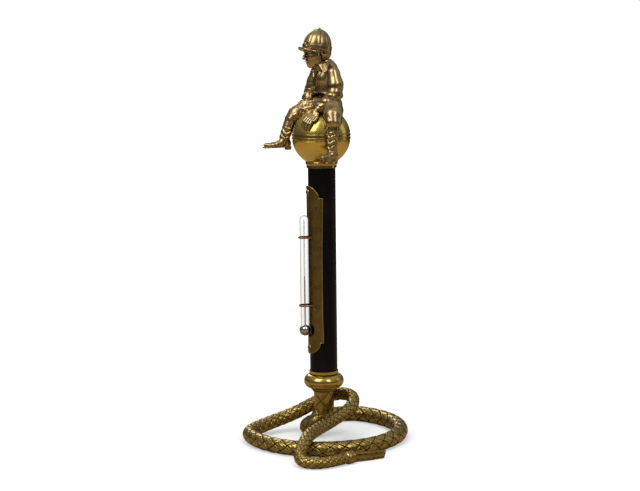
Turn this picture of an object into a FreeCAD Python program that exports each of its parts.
"""Figural desk thermometer: a cast brass jockey on a hollow ball, on an ebonised wood column that carries a
mercury thermometer, standing on a cast brass riding whip laid in a coil.

Millimetres, +Z up. The origin is on the column's axis, on the surface that the whip's coil rests on.
The thermometer and the jockey face -Y, and the jockey's left side is +X.
"""

import FreeCAD
import Part
import Sketcher
import math
import os
import re

from FreeCAD import Base, Placement, Rotation, Vector

DOC = FreeCAD.newDocument("figural_thermometer")
UP = Vector(0, 0, 1)
FRONT = Vector(0, -1, 0)

# ---------------------------------------------------------------- driving dimensions
DIMENSIONS = {
    # ebonised column and the rod that ties the stack together
    "column_radius": 8.65,
    "column_base": 41.9,
    "column_top": 172.4,
    "fit_gap": 0.05,
    "rod_radius": 2.0,
    "rod_bore": 2.2,
    "rod_base": 19.0,
    "rod_top": 181.0,
    "washer_radius": 4.0,
    "washer_wall": 1.0,
    "nut_radius": 4.04,
    "nut_height": 3.2,
    # turned brass below the column
    "lip_base": 29.7,
    "lip_top": 31.8,
    "lip_radius": 8.1,
    "lip_foot": 7.0,
    "knop_top": 41.4,
    "knop_waist": 8.1,
    "knop_bead": 4.5,
    "knop_bead_height": 36.4,
    "ferrule_radius": 9.25,
    "ferrule_top": 43.1,
    # turned brass below the ball
    "collar_base": 171.9,
    "collar_top": 176.1,
    "collar_radius": 9.45,
    "collar_bead": 1.8,
    "collar_bead_centre": 8.3,
    "collar_bead_height": 174.9,
    # hollow ball
    "ball_radius": 18.3,
    "ball_height": 191.3,
    "ball_wall": 1.5,
    "groove_radius": 0.4,
    "groove_pitch": 2.1,
    "figure_screw_radius": 1.5,
    "figure_screw_head": 3.0,
    "figure_screw_depth": 2.2,
    "figure_screw_top": 213.5,
    # scale plate
    "plate_gap": 0.07,
    "plate_wall": 1.0,
    "plate_low": 61.9,
    "plate_high": 153.5,
    "plate_head_turn": 69.5,
    "plate_waist_turn": 64.3,
    "plate_foot_turn": 66.5,
    "plate_waist_low": 80.0,
    "plate_waist_high": 122.0,
    "lobe_turn": 54.3,
    "lobe_rise": 7.4,
    "bulb_window": 4.8,
    "screw_offset": 3.4,
    "screw_radius": 0.9,
    "screw_dome": 2.14,
    "screw_root": 0.3,
    "screw_length": 6.0,
    # glass and mercury
    "tube_offset": 12.6,
    "tube_radius": 2.8,
    "tube_top": 142.7,
    "bulb_height": 70.0,
    "bulb_radius": 3.7,
    "bulb_wall": 0.45,
    "bore_radius": 0.4,
    "bore_top": 139.6,
    "thread_radius": 0.33,
    "thread_base": 75.0,
    "reading_height": 104.2,
    "meniscus_length": 2.0,
    "clip_wire": 0.55,
    "clip_depth": 3.0,
    "upper_clip_height": 128.6,
    "lower_clip_height": 85.6,
    # cast riding whip
    "coil_radius": 48.0,
    "coil_shift": -2.3,
    "coil_height": 4.6,
    "coil_girth": 5.0,
    "stem_girth": 6.4,
    "stem_low": 15.5,
    "grip_girth": 5.2,
    "thong_girth": 3.9,
    "tail_girth": 3.4,
    "keeper_girth": 3.9,
    "keeper_length": 5.7,
    "lash_wall": 1.8,
    "lash_tuck": 1.2,
    # figure
    "skull_girth": 7.2,
    "jaw_girth": 4.6,
    "neck_girth": 3.9,
    "crown_width": 7.9,
    "crown_depth": 8.5,
    "crown_rise": 11.4,
    "button_girth": 1.1,
    "peak_girth": 8.3,
    "peak_wall": 0.9,
    "chest_girth": 7.3,
    "waist_girth": 7.1,
    "hem_girth": 7.6,
    "yoke_girth": 3.6,
    "shoulder_girth": 3.9,
    "elbow_girth": 3.3,
    "cuff_girth": 2.7,
    "wrist_girth": 1.9,
    "palm_girth": 2.6,
    "finger_girth": 1.6,
    "seat_girth": 7.8,
    "thigh_girth": 5.2,
    "knee_girth": 4.1,
    "calf_girth": 3.7,
    "ankle_girth": 2.7,
    "heel_girth": 2.5,
    "toe_girth": 1.8,
}

SHEET = DOC.addObject("Spreadsheet::Sheet", "Dimensions")
for row, (alias, value) in enumerate(DIMENSIONS.items(), start=1):
    SHEET.set(f"A{row}", alias)
    SHEET.set(f"B{row}", str(value))
    SHEET.setAlias(f"B{row}", alias)
DOC.recompute()

NODES = []


# ---------------------------------------------------------------- helpers
def size(alias):
    """A driving dimension, read back from the sheet."""
    return float(SHEET.get(alias))


def formula(text):
    """A sum written in aliases, in the form that an expression of the document needs."""
    return re.sub(r"[a-z_]{3,}", lambda word: "Dimensions." + word.group(), text)


def total(text):
    """The value of a sum or difference of aliases and numbers."""
    terms = re.findall(r"([+-]?)\s*([a-z_]+|[\d.]+)", text)
    values = (size(word) if word in DIMENSIONS else float(word) for sign, word in terms)
    return sum(-value if sign == "-" else value for value, (sign, word) in zip(values, terms))


def bind(item, **sizes):
    """Binds an object's properties to the sheet, where they are written as sums of aliases."""
    for name, value in sizes.items():
        if isinstance(value, str):
            item.setExpression(name, formula(value))
        else:
            setattr(item, name, value)
    return item


def solid(kind, name, place=(0, 0, 0), axis=UP, **sizes):
    """A Part primitive with its sizes bound to the sheet, its own Z along axis, its origin at place."""
    item = bind(DOC.addObject("Part::" + kind, name), **sizes)
    item.Placement = Placement(Vector(*place), Rotation(UP, Vector(axis)))
    return item


def lifted(item, height):
    """Binds an object's height above the resting surface to the sheet."""
    item.setExpression("Placement.Base.z", formula(height))
    return item


def joined(name, *pieces):
    """The pieces fused into one."""
    item = DOC.addObject("Part::MultiFuse", name)
    item.Shapes = list(pieces)
    return item


def less(name, base, *tools):
    """base with the tools taken out of it."""
    tool = tools[0] if len(tools) == 1 else joined(name + "_tools", *tools)
    item = DOC.addObject("Part::Cut", name)
    item.Base = base
    item.Tool = tool
    return item


def node(item, label):
    """Marks a finished sub-part; its label names its file."""
    item.Label = label
    NODES.append(item)
    return item


def turned(name, *profile):
    """A PartDesign body turned about Z, from the corners of its section as (radius, height) sums."""
    body = DOC.addObject("PartDesign::Body", name)
    plane = next(feature for feature in body.Origin.OriginFeatures if feature.Role == "XZ_Plane")
    sketch = body.newObject("Sketcher::SketchObject", name + "_section")
    sketch.AttachmentSupport = [(plane, "")]
    sketch.MapMode = "FlatFace"
    corners = [Vector(total(radius), total(height), 0) for radius, height in profile]
    for corner, far in zip(corners, corners[1:] + corners[:1]):
        sketch.addGeometry(Part.LineSegment(corner, far), False)
    for index in range(len(corners)):
        sketch.addConstraint(Sketcher.Constraint("Coincident", index, 2, (index + 1) % len(corners), 1))
    for index, (sums, corner) in enumerate(zip(profile, corners)):
        for kind, text, value in zip(("DistanceX", "DistanceY"), sums, corner):
            number = sketch.addConstraint(Sketcher.Constraint(kind, -1, 1, index, 1, value))
            sketch.renameConstraint(number, f"{kind}{index}")
            sketch.setExpression(f"Constraints.{kind}{index}", formula(text))
    turn = body.newObject("PartDesign::Revolution", name + "_turn")
    turn.Profile = sketch
    turn.ReferenceAxis = (sketch, ["V_Axis"])
    turn.Angle = 360
    return body


def bore(name, radius, low, high):
    """A cylinder on the column's axis, to cut with."""
    return lifted(solid("Cylinder", name, Radius=radius, Height=f"{high} - {low}"), low)


# ---------------------------------------------------------------- column and turned brass
def make_column():
    """The ebonised column, bored for the tie rod, with holes for the plate's screws and the clips' wires."""
    column = turned(
        "column_body",
        ("rod_bore", "column_base"),
        ("column_radius", "column_base"),
        ("column_radius", "column_top"),
        ("rod_bore", "column_top"),
    )
    holes = [fastener_hole(f"column_hole_{place}", place) for place in ("upper", "lower")]
    holes += [wire_legs(f"column_wire_{place}", place, "fit_gap") for place in ("upper", "lower")]
    node(less("column_bored", column, *holes), "column")


def make_lower_turnings():
    """The lip, the round knop and the thin ferrule that the column stands in."""
    lip = turned(
        "lip",
        ("rod_bore", "lip_base"),
        ("lip_foot", "lip_base"),
        ("lip_radius", "lip_base + 1.3"),
        ("lip_radius", "lip_top"),
        ("rod_bore", "lip_top"),
    )
    node(lip, "stem_lip")
    core = lifted(solid("Cylinder", "knop_core", Radius="knop_waist", Height="knop_top - lip_top"), "lip_top")
    bead = lifted(solid("Torus", "knop_round", Radius1="knop_waist", Radius2="knop_bead"), "knop_bead_height")
    hole = bore("knop_bore", "rod_bore", "lip_top", "knop_top")
    node(less("knop", joined("knop_solid", core, bead), hole), "lower_knop")
    ferrule = turned(
        "ferrule",
        ("rod_bore", "knop_top"),
        ("ferrule_radius", "knop_top"),
        ("ferrule_radius", "ferrule_top"),
        ("column_radius + fit_gap", "ferrule_top"),
        ("column_radius + fit_gap", "column_base"),
        ("rod_bore", "column_base"),
    )
    node(ferrule, "lower_ferrule")


def make_upper_collar():
    """The beaded collar that caps the column and cups the ball."""
    cup = solid("Cylinder", "collar_cup", Radius="collar_radius", Height="collar_top - collar_base")
    cup = lifted(cup, "collar_base")
    bead = solid("Torus", "collar_round", Radius1="collar_bead_centre", Radius2="collar_bead")
    bead = lifted(bead, "collar_bead_height")
    socket = bore("collar_socket", "column_radius + fit_gap", "collar_base", "column_top")
    rod_hole = bore("collar_bore", "rod_bore", "collar_base", "collar_top")
    seat = lifted(solid("Sphere", "collar_seat", Radius="ball_radius + fit_gap"), "ball_height")
    node(less("collar", joined("collar_solid", cup, bead), socket, rod_hole, seat), "upper_collar")


def make_tie_rod():
    """The threaded rod that clamps whip, knop, column, collar and ball together, with its washer and nut."""
    rod = lifted(solid("Cylinder", "rod", Radius="rod_radius", Height="rod_top - rod_base"), "rod_base")
    node(rod, "tie_rod")
    washer_low = size("ball_height") - math.sqrt(
        (size("ball_radius") - size("ball_wall")) ** 2 - size("washer_radius") ** 2
    )
    washer = solid("Cylinder", "washer_disc", (0, 0, washer_low), Radius="washer_radius", Height="washer_wall")
    node(less("washer", washer, bore("washer_bore", "rod_bore", "collar_base", "rod_top")), "tie_rod_washer")
    nut_low = washer_low + size("washer_wall")
    nut = solid("Prism", "nut_hexagon", (0, 0, nut_low), Polygon=6, Circumradius="nut_radius", Height="nut_height")
    node(less("nut", nut, bore("nut_bore", "rod_radius + fit_gap", "collar_base", "rod_top")), "tie_rod_nut")


def make_ball():
    """The hollow ball in two spun halves, with three engraved lines round it, the middle one over the joint."""
    height = size("ball_height")
    for half, low, high, line in (("lower", -90, 0, -1), ("upper", 0, 90, 1)):
        skin = solid("Sphere", f"{half}_skin", Radius="ball_radius", Angle1=low, Angle2=high)
        cavity = lifted(solid("Sphere", f"{half}_cavity", Radius="ball_radius - ball_wall"), "ball_height")
        lift = line * size("groove_pitch")
        ring = math.sqrt(size("ball_radius") ** 2 - lift**2)
        groove = solid("Torus", f"{half}_groove", (0, 0, height + lift), Radius1=ring, Radius2="groove_radius")
        seam = lifted(solid("Torus", f"{half}_seam", Radius1="ball_radius", Radius2="groove_radius"), "ball_height")
        if half == "lower":
            hole = bore("lower_hole", "rod_bore", "collar_base", "ball_height")
        else:
            hole = bore("upper_hole", "figure_screw_radius + fit_gap", "ball_height", "figure_screw_top")
        node(less(f"{half}_half", lifted(skin, "ball_height"), cavity, groove, seam, hole), f"ball_{half}_half")


FIGURE_SLOT_LENGTH = 8.0
FIGURE_SLOT_WIDTH = 0.8


def make_figure_screw():
    """The screw that holds the figure from inside the ball."""
    inner = size("ball_radius") - size("ball_wall")
    rise = math.sqrt(inner**2 - size("figure_screw_head") ** 2)
    low = size("ball_height") + rise - size("figure_screw_depth")
    length = size("figure_screw_top") - low
    head = solid("Cylinder", "screw_head", (0, 0, low), Radius="figure_screw_head", Height="figure_screw_depth")
    shank = solid("Cylinder", "screw_shank", (0, 0, low), Radius="figure_screw_radius", Height=length)
    half = FIGURE_SLOT_LENGTH / 2
    slot = solid(
        "Box",
        "screw_slot",
        (-half, -FIGURE_SLOT_WIDTH / 2, low),
        Length=FIGURE_SLOT_LENGTH,
        Width=FIGURE_SLOT_WIDTH,
        Height=FIGURE_SLOT_WIDTH,
    )
    node(less("screw", joined("screw_solid", head, shank), slot), "figure_screw")


# ---------------------------------------------------------------- thermometer
SCREW_DOME_FROM = 25
SCREW_SLOT_WIDTH = 0.4
SCREW_SLOT_DEPTH = 0.8
SCREW_HEAD_RISE = 1.6
HOLE_REACH = 0.5
LEG_REACH = 0.2
PLATE_MIDDLE = 1.5 * math.pi
PLATE_TOLERANCE = 1e-4
WINDOW_DEPTH = 20
SCREW_HEIGHTS = {"upper": "plate_high + screw_offset", "lower": "plate_low - screw_offset"}


def fastener_hole(name, place):
    """The hole that a scale screw's shank goes into, through the plate and into the column."""
    height = total(SCREW_HEIGHTS[place])
    depth = size("column_radius") + size("plate_gap") + size("plate_wall") + HOLE_REACH
    length = size("screw_length") + 2 * HOLE_REACH
    return solid("Cylinder", name, (0, -depth, height), -FRONT, Radius="screw_radius + fit_gap", Height=length)


def wire_legs(name, place, gap=None):
    """A clip's two straight legs, grown by gap where they are used to cut with."""
    radius = "clip_wire" + (f" + {gap}" if gap else "")
    reach = size("tube_radius") + size("clip_wire") + size("fit_gap")
    depth = size("column_radius") - size("clip_depth") - (LEG_REACH if gap else 0)
    legs = [
        solid(
            "Cylinder",
            f"{name}_{side}",
            (reach * turn, -depth, size(f"{place}_clip_height")),
            FRONT,
            Radius=radius,
            Height=size("tube_offset") - depth,
        )
        for side, turn in (("left", 1), ("right", -1))
    ]
    return joined(name, *legs)


def on_column(turn, height):
    """A place on the plate's inner face: the angle round the column from the front, in degrees, and the height."""
    return Base.Vector2d(PLATE_MIDDLE + math.radians(turn), height)


def lobe_edge(face, height, rise):
    """The rounded end of the plate: half an ellipse wrapped on the column, rising from a height."""
    top = on_column(0, height + rise)
    side = on_column(size("lobe_turn"), height)
    ellipse = Part.Geom2d.Ellipse2d(top, side, on_column(0, height))
    return Part.Geom2d.ArcOfEllipse2d(ellipse, -math.pi / 2, math.pi / 2).toShape(face)


def plate_blank():
    """The sheet bent round the column: waisted sides, square corners and a rounded lobe at each end."""
    face = Part.Cylinder()
    face.Radius = size("column_radius") + size("plate_gap")
    low = size("plate_low")
    high = size("plate_high")
    side = [
        (size("lobe_turn"), low),
        (size("plate_foot_turn"), low),
        (size("plate_waist_turn"), size("plate_waist_low")),
        (size("plate_waist_turn"), size("plate_waist_high")),
        (size("plate_head_turn"), high),
        (size("lobe_turn"), high),
    ]
    edges = [lobe_edge(face, high, size("lobe_rise")), lobe_edge(face, low, -size("lobe_rise"))]
    for mirror in (1, -1):
        corners = [on_column(mirror * turn, height) for turn, height in side]
        edges += [Part.Geom2d.Line2dSegment(*ends).toShape(face) for ends in zip(corners, corners[1:])]
    sheet = Part.Face(face, Part.Wire(Part.sortEdges(edges)[0]))
    sheet.validate()
    item = DOC.addObject("Part::Feature", "plate_sheet")
    item.Shape = sheet.makeOffsetShape(size("plate_wall"), PLATE_TOLERANCE, fill=True)
    return item


def make_scale_plate():
    """The curved scale plate, with a window behind the bulb and holes for its screws and the clips."""
    window = solid("Cylinder", "plate_window", axis=FRONT, Radius="bulb_window", Height=WINDOW_DEPTH)
    window = lifted(window, "bulb_height")
    holes = [fastener_hole(f"plate_hole_{place}", place) for place in ("upper", "lower")]
    holes += [wire_legs(f"plate_wire_{place}", place, "fit_gap") for place in ("upper", "lower")]
    node(less("plate", plate_blank(), window, *holes), "scale_plate")


def make_scale_screws():
    """Two round-headed screws that hold the scale plate to the column."""
    face = size("column_radius") + size("plate_gap") + size("plate_wall")
    for place, height in SCREW_HEIGHTS.items():
        level = total(height)
        shank = solid(
            "Cylinder",
            f"{place}_shank",
            (0, size("screw_length") - face - size("screw_root"), level),
            FRONT,
            Radius="screw_radius",
            Height="screw_length",
        )
        centre = size("screw_dome") * math.sin(math.radians(SCREW_DOME_FROM)) - face
        dome = solid("Sphere", f"{place}_dome", (0, centre, level), FRONT, Radius="screw_dome", Angle2=90)
        dome.Angle1 = SCREW_DOME_FROM
        slot = solid(
            "Box",
            f"{place}_slot",
            (-size("screw_dome"), -face - SCREW_HEAD_RISE, level - SCREW_SLOT_WIDTH / 2),
            Length=2 * size("screw_dome"),
            Width=SCREW_SLOT_DEPTH,
            Height=SCREW_SLOT_WIDTH,
        )
        node(less(f"{place}_screw", joined(f"{place}_screw_solid", shank, dome), slot), f"{place}_scale_screw")


def tube_piece(kind, name, height, **sizes):
    """A primitive on the glass tube's axis."""
    item = lifted(solid(kind, name, **sizes), height)
    item.setExpression("Placement.Base.y", "-" + formula("tube_offset"))
    return item


def make_glass():
    """The glass: a capillary tube with a rounded top, drawn out below to a bulb, hollow from bulb to bore's top."""
    rise = "tube_top - tube_radius - bulb_height"
    stem = tube_piece("Cylinder", "glass_stem", "bulb_height", Radius="tube_radius", Height=rise)
    crown = tube_piece("Sphere", "glass_crown", "tube_top - tube_radius", Radius="tube_radius")
    bulb = tube_piece("Sphere", "glass_bulb", "bulb_height", Radius="bulb_radius")
    cavity = tube_piece("Sphere", "glass_cavity", "bulb_height", Radius="bulb_radius - bulb_wall")
    rise = "bore_top - bulb_height"
    capillary = tube_piece("Cylinder", "glass_bore", "bulb_height", Radius="bore_radius", Height=rise)
    node(less("glass", joined("glass_solid", stem, crown, bulb), cavity, capillary), "thermometer_glass")


def make_mercury():
    """The mercury: what fills the bulb, the thread that lengthens, and the thread's moving end."""
    pool = tube_piece("Sphere", "pool", "bulb_height", Radius="bulb_radius - bulb_wall - fit_gap")
    rise = "thread_base - bulb_height"
    neck = tube_piece("Cylinder", "pool_neck", "bulb_height", Radius="thread_radius", Height=rise)
    node(joined("reservoir", pool, neck), "mercury_reservoir")
    thread = tube_piece(
        "Cylinder",
        "thread",
        "thread_base",
        Radius="thread_radius",
        Height="reading_height - meniscus_length - thread_base",
    )
    node(thread, "mercury_thread")
    end = tube_piece(
        "Cylinder",
        "thread_end",
        "reading_height - meniscus_length",
        Radius="thread_radius",
        Height="meniscus_length - thread_radius",
    )
    dome = tube_piece("Sphere", "thread_dome", "reading_height - thread_radius", Radius="thread_radius")
    node(joined("meniscus", end, dome), "mercury_meniscus")


def make_clips():
    """Two wire staples that hold the tube to the plate."""
    reach = size("tube_radius") + size("clip_wire") + size("fit_gap")
    for place in ("upper", "lower"):
        bend = solid(
            "Torus",
            f"{place}_bend",
            (0, -size("tube_offset"), size(f"{place}_clip_height")),
            Radius1=reach,
            Radius2="clip_wire",
            Angle3=180,
        )
        bend.Placement.Rotation = Rotation(UP, 180)
        node(joined(f"{place}_clip", bend, wire_legs(f"{place}_clip_legs", place)), f"{place}_tube_clip")


# ---------------------------------------------------------------- cast riding whip
# The whip is laid out in a plan of its own and turned about the column's axis by WHIP_TURN.
WHIP_TURN = 65.0
COIL_START = 50.0
COIL_SWEEP = 218.0
GRIP_ROUTE = [
    (-0.3, -0.3, 15.5),
    (-7.2, -2.0, 6.4),
    (-11.2, 5.5, 4.8),
    (-7.5, 18.5, 4.6),
    (3.0, 34.5, 4.6),
    (12.0, 41.3, 4.6),
]
THONG_ROUTE = [
    (-36.5, 8.0, 6.6),
    (-19.0, 17.3, 10.8),
    (-4.5, 11.6, 20.2),
    (8.0, 11.0, 25.6),
    (18.3, 4.5, 25.6),
    (18.6, -5.5, 20.6),
    (5.5, -21.5, 15.3),
    (-6.0, -42.0, 13.9),
    (-11.0, -56.0, 13.4),
    (-15.4, -67.5, 6.4),
]
TAIL_ROUTE = [
    (-14.0, -75.6, 3.8),
    (-4.8, -79.3, 3.5),
    (5.6, -74.2, 3.5),
]
KEEPER_START = (12.3, -68.3, 3.6)
LASH_HEADING = 26.0
LASH_PROFILE = [(0.0, 0.3), (0.0, 5.9), (22.6, 5.0), (23.6, 2.2)]
BEND_SHARE = 0.45
FLOOR_HALF = 100
FLOOR_DEPTH = 20
GRIP_TOP = (0, 0, 24.0)
GRIP_LEAD = 9.0
THONG_LEAD = 7.0


def coil_point(angle):
    """A point on the coil's centre line, at an angle in the whip's plan."""
    turn = math.radians(angle)
    radius = size("coil_radius")
    return (radius * math.cos(turn), size("coil_shift") + radius * math.sin(turn), size("coil_height"))


def coil_lead(angle, distance):
    """A point off the coil on its tangent at an angle; a distance above 0 is past the coil's far end."""
    turn = math.radians(angle)
    here = Vector(*coil_point(angle))
    return tuple(here + Vector(math.sin(turn), -math.cos(turn), 0) * distance)


def rounded_path(route):
    """A wire of straight runs joined by tangent arcs, each as large as its two runs allow."""
    points = [Vector(*point) for point in route]
    edges = []
    here = points[0]
    for before, corner, after in zip(points, points[1:], points[2:]):
        back = before - corner
        ahead = after - corner
        trim = BEND_SHARE * min(back.Length, ahead.Length)
        start = corner + back.normalize() * trim
        end = corner + ahead.normalize() * trim
        half = 0.5 * (math.pi - back.getAngle(ahead))
        inward = (back + ahead).normalize()
        radius = trim / math.tan(half)
        middle = corner + inward * (radius / math.cos(half) - radius)
        edges += [Part.LineSegment(here, start).toShape(), Part.Arc(start, middle, end).toShape()]
        here = end
    edges.append(Part.LineSegment(here, points[-1]).toShape())
    return Part.Wire(edges)


def pipe(name, route, radius):
    """A round bar along a route of the whip's plan."""
    path = rounded_path(route)
    start = Vector(*route[0])
    ring = Part.Wire(Part.makeCircle(radius, start, Vector(*route[1]) - start))
    item = DOC.addObject("Part::Feature", name)
    item.Shape = path.makePipeShell([ring], True, False)
    return item


def whip_turned(item):
    """Turns a finished piece of the whip from its plan into the object's frame."""
    item.Placement = Placement(Vector(0, 0, 0), Rotation(UP, WHIP_TURN))
    return item


def floor_cutter(name):
    """The block below the resting surface, which files the whip's underside flat."""
    return solid(
        "Box",
        name,
        (-FLOOR_HALF, -FLOOR_HALF, -FLOOR_DEPTH),
        Length=2 * FLOOR_HALF,
        Width=2 * FLOOR_HALF,
        Height=FLOOR_DEPTH,
    )


def make_whip_grip():
    """The whip's thick end: it stands under the column, turns down to the surface and runs out to the coil."""
    top = lifted(solid("Cylinder", "stem_bar", Radius="stem_girth", Height="lip_base - stem_low"), "stem_low")
    shoulder = lifted(solid("Sphere", "stem_shoulder", Radius="stem_girth"), "stem_low")
    route = [GRIP_TOP] + GRIP_ROUTE + [coil_lead(COIL_START, -GRIP_LEAD), coil_point(COIL_START)]
    bar = pipe("grip_bar", route, size("grip_girth"))
    socket = bore("stem_socket", "rod_radius + fit_gap", "rod_base", "lip_base")
    grip = less("grip", joined("grip_solid", top, shoulder, bar), socket, floor_cutter("grip_floor"))
    node(whip_turned(grip), "whip_grip")


def make_whip_coil():
    """The open ring that the object rests on, filed flat below."""
    ring = solid(
        "Torus",
        "coil_ring",
        (0, size("coil_shift"), size("coil_height")),
        Radius1="coil_radius",
        Radius2="coil_girth",
        Angle3=COIL_SWEEP,
    )
    ring.Placement.Rotation = Rotation(UP, COIL_START - COIL_SWEEP)
    node(whip_turned(less("coil", ring, floor_cutter("coil_floor"))), "whip_coil")


def make_whip_thong():
    """The thinner end: it climbs behind the stem, loops over and comes down across the coil."""
    coil_end = COIL_START - COIL_SWEEP
    join = tuple((Vector(*THONG_ROUTE[-1]) + Vector(*TAIL_ROUTE[0])) * 0.5)
    route = [coil_point(coil_end), coil_lead(coil_end, THONG_LEAD)] + THONG_ROUTE + [join]
    thong = pipe("thong_bar", route, size("thong_girth"))
    node(whip_turned(less("thong", thong, floor_cutter("thong_floor"))), "whip_thong")
    tail = pipe("tail_bar", [join] + TAIL_ROUTE + [KEEPER_START], size("tail_girth"))
    node(whip_turned(less("tail", tail, floor_cutter("tail_floor"))), "whip_tail")


def make_whip_end():
    """The keeper that binds the thong's end, and the flat lash that comes out of it."""
    along = Vector(*KEEPER_START) - Vector(*TAIL_ROUTE[-1])
    keeper = solid("Cylinder", "keeper_bar", KEEPER_START, along, Radius="keeper_girth", Height="keeper_length")
    node(whip_turned(less("keeper", keeper, floor_cutter("keeper_floor"))), "whip_keeper")
    body = DOC.addObject("PartDesign::Body", "lash_body")
    plane = next(feature for feature in body.Origin.OriginFeatures if feature.Role == "XZ_Plane")
    sketch = body.newObject("Sketcher::SketchObject", "lash_profile")
    sketch.AttachmentSupport = [(plane, "")]
    sketch.MapMode = "FlatFace"
    corners = [Vector(x, z, 0) for x, z in LASH_PROFILE]
    for corner, far in zip(corners, corners[1:] + corners[:1]):
        sketch.addGeometry(Part.LineSegment(corner, far), False)
    pad = body.newObject("PartDesign::Pad", "lash_pad")
    pad.Profile = sketch
    bind(pad, Length="lash_wall")
    pad.Midplane = True
    end = Vector(*KEEPER_START) + along.normalize() * (size("keeper_length") - size("lash_tuck"))
    body.Placement = Placement(Vector(end.x, end.y, 0), Rotation(UP, LASH_HEADING))
    node(whip_turned(less("lash_trimmed", body, keeper)), "whip_lash")


# ---------------------------------------------------------------- jockey
# Joints of the seated figure. Left is +X. He looks down and forward, and his hands rest on thigh and ball.
HEAD = Vector(0, -2.8, 242.4)
JAW = Vector(0, -5.2, 239.8)
NECK = Vector(0, 0.8, 233.5)
CAP = Vector(0, -2.6, 245.4)
PEAK = Vector(0, -6.6, 245.9)
CHEST = Vector(0, 3.2, 227.0)
WAIST = Vector(0, 3.6, 220.5)
HEM = Vector(0, 3.4, 216.2)
SEAT = Vector(0, 2.9, 211.6)
LEFT_SHOULDER = Vector(7.6, 4.3, 230.2)
LEFT_ARM = [LEFT_SHOULDER, Vector(11.6, 1.6, 217.4), Vector(9.8, -6.2, 208.6)]
LEFT_HAND = [Vector(9.7, -7.4, 207.3), Vector(9.6, -10.6, 204.2), Vector(9.6, -15.3, 198.4)]
RIGHT_SHOULDER = Vector(-7.6, 4.3, 230.2)
RIGHT_ARM = [RIGHT_SHOULDER, Vector(-12.2, -0.6, 219.0), Vector(-9.2, -5.6, 212.4)]
RIGHT_HAND = [Vector(-9.0, -6.6, 211.6), Vector(-8.8, -9.4, 209.9), Vector(-8.4, -13.0, 205.2)]
LEFT_LEG = [Vector(5.6, 3.0, 211.6), Vector(18.6, -0.8, 205.4), Vector(20.6, -1.6, 198.6)]
RIGHT_LEG = [Vector(-5.6, 2.0, 211.2), Vector(-12.4, -11.8, 206.2), Vector(-12.8, -15.3, 198.6)]
LEFT_BOOT = [
    Vector(20.9, -1.9, 197.4),
    Vector(21.2, -3.0, 183.4),
    Vector(21.4, -2.4, 180.6),
    Vector(26.4, -12.0, 180.0),
]
RIGHT_BOOT = [
    Vector(-12.9, -15.8, 197.0),
    Vector(-13.0, -19.6, 188.6),
    Vector(-13.0, -18.4, 186.6),
    Vector(-13.2, -34.0, 186.2),
]
YOKE = [Vector(-4.6, 4.1, 229.9), Vector(4.6, 4.1, 229.9)]
SLIMMER = 0.94
PEAK_LEAN = Vector(0, -0.14, 1)
BUTTON_SINK = 0.3
PEAK_ROOT = 2.0
PEAK_BLOCK = 30
SCREW_ROOM = 0.2
BOOT_GIRTHS = ("calf_girth", "ankle_girth", "heel_girth", "toe_girth")


def limb(name, joints, girths):
    """A rounded bar through joints: a sphere at each, and a slightly slimmer cone between each two."""
    pieces = []
    for index, (joint, girth) in enumerate(zip(joints, girths)):
        pieces.append(solid("Sphere", f"{name}_joint{index}", joint, Radius=girth))
    for index in range(len(joints) - 1):
        run = joints[index + 1] - joints[index]
        pieces.append(
            solid(
                "Cone",
                f"{name}_run{index}",
                joints[index],
                run,
                Radius1=SLIMMER * total(girths[index]),
                Radius2=SLIMMER * total(girths[index + 1]),
                Height=run.Length,
            )
        )
    return joined(name, *pieces)


def make_head():
    """The cap's crown with its button, the cap's peak, and the head with its neck."""
    crown = solid("Ellipsoid", "crown", CAP, Radius1="crown_rise", Radius2="crown_width", Radius3="crown_depth")
    crown.Angle1 = 0
    top = CAP + UP * (size("crown_rise") - BUTTON_SINK)
    button = solid("Sphere", "button", top, Radius="button_girth")
    skull = limb("skull", [NECK, HEAD, JAW], ["neck_girth", "skull_girth", "jaw_girth"])
    cap = less("cap", joined("cap_solid", crown, button), skull)
    node(cap, "jockey_cap")
    peak = solid("Cylinder", "peak_disc", PEAK, PEAK_LEAN, Radius="peak_girth", Height="peak_wall")
    half = PEAK_BLOCK / 2
    corner = (-half, CAP.y - PEAK_ROOT, PEAK.z - half)
    behind = solid("Box", "peak_back", corner, Length=PEAK_BLOCK, Width=PEAK_BLOCK, Height=PEAK_BLOCK)
    node(less("peak", peak, crown, skull, behind), "cap_peak")
    return skull


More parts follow.
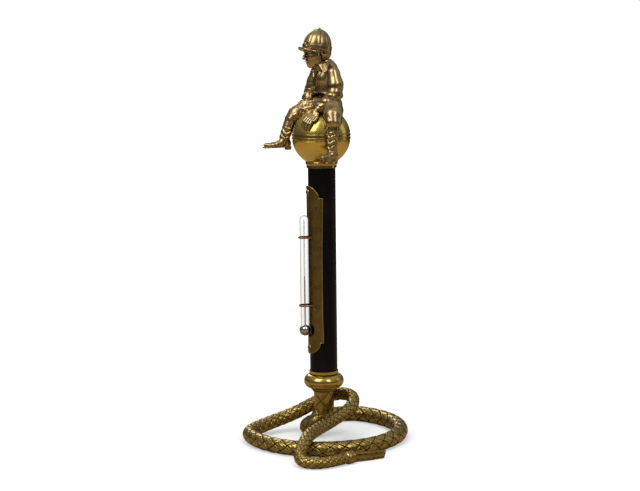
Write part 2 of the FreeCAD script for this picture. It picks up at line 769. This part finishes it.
def make_figure():
    """The figure's castings, each trimmed where the next one meets it."""
    skull = make_head()
    ball = lifted(solid("Sphere", "ball_room", Radius="ball_radius + fit_gap"), "ball_height")
    hole_top = f"figure_screw_top + {SCREW_ROOM}"
    screw_hole = bore("seat_hole", "figure_screw_radius + fit_gap", "ball_height", hole_top)
    torso = limb("torso", [CHEST, WAIST, HEM], ["chest_girth", "waist_girth", "hem_girth"])
    yoke = limb("yoke", YOKE, ["yoke_girth", "yoke_girth + 0.1"])
    seat = limb("seat", [SEAT, HEM], ["seat_girth", "waist_girth"])
    legs = {}
    for side, joints in (("left", LEFT_LEG), ("right", RIGHT_LEG)):
        legs[side] = limb(f"{side}_leg", joints, ["thigh_girth", "knee_girth", "calf_girth"])
    torso_solid = joined("torso_solid", torso, yoke)
    arms = {"left": LEFT_ARM, "right": RIGHT_ARM}
    hands = {"left": LEFT_HAND, "right": RIGHT_HAND}
    boots = {"left": LEFT_BOOT, "right": RIGHT_BOOT}
    node(less("head", skull, torso_solid), "jockey_head")
    breeches = joined("breeches_solid", seat, legs["left"], legs["right"])
    node(less("jacket", torso_solid, breeches), "jockey_jacket")
    sleeves = {}
    for side in ("left", "right"):
        sleeves[side] = limb(f"{side}_sleeve", arms[side], ["shoulder_girth", "elbow_girth", "cuff_girth"])
        palm = limb(f"{side}_palm", hands[side], ["wrist_girth", "palm_girth", "finger_girth"])
        node(less(f"{side}_arm", sleeves[side], torso_solid, breeches, ball), f"jockey_{side}_arm")
        node(less(f"{side}_hand", palm, sleeves[side], breeches, ball), f"jockey_{side}_hand")
        boot = limb(f"{side}_boot_solid", boots[side], BOOT_GIRTHS)
        node(less(f"{side}_boot", boot, breeches, ball), f"jockey_{side}_boot")
    node(less("breeches", breeches, ball, screw_hole), "jockey_breeches")


make_column()
make_lower_turnings()
make_upper_collar()
make_tie_rod()
make_ball()
make_figure_screw()
make_scale_plate()
make_scale_screws()
make_glass()
make_mercury()
make_clips()
make_whip_grip()
make_whip_coil()
make_whip_thong()
make_whip_end()
make_figure()
DOC.recompute()

for item in DOC.Objects:
    if "Invalid" in item.State or "Error" in item.State:
        raise RuntimeError(f"{item.Label} failed: {item.State}")
os.makedirs("parts", exist_ok=True)
for item in NODES:
    if item.Shape.isNull() or not item.Shape.isValid():
        raise RuntimeError(f"{item.Label} has no valid shape")
    item.Shape.exportStep(f"parts/{item.Label}.step")
    box = item.Shape.BoundBox
    print(f"{item.Label:20s} {item.Shape.Volume:10.1f}  {len(item.Shape.Solids)}  z {box.ZMin:.2f} {box.ZMax:.2f}")
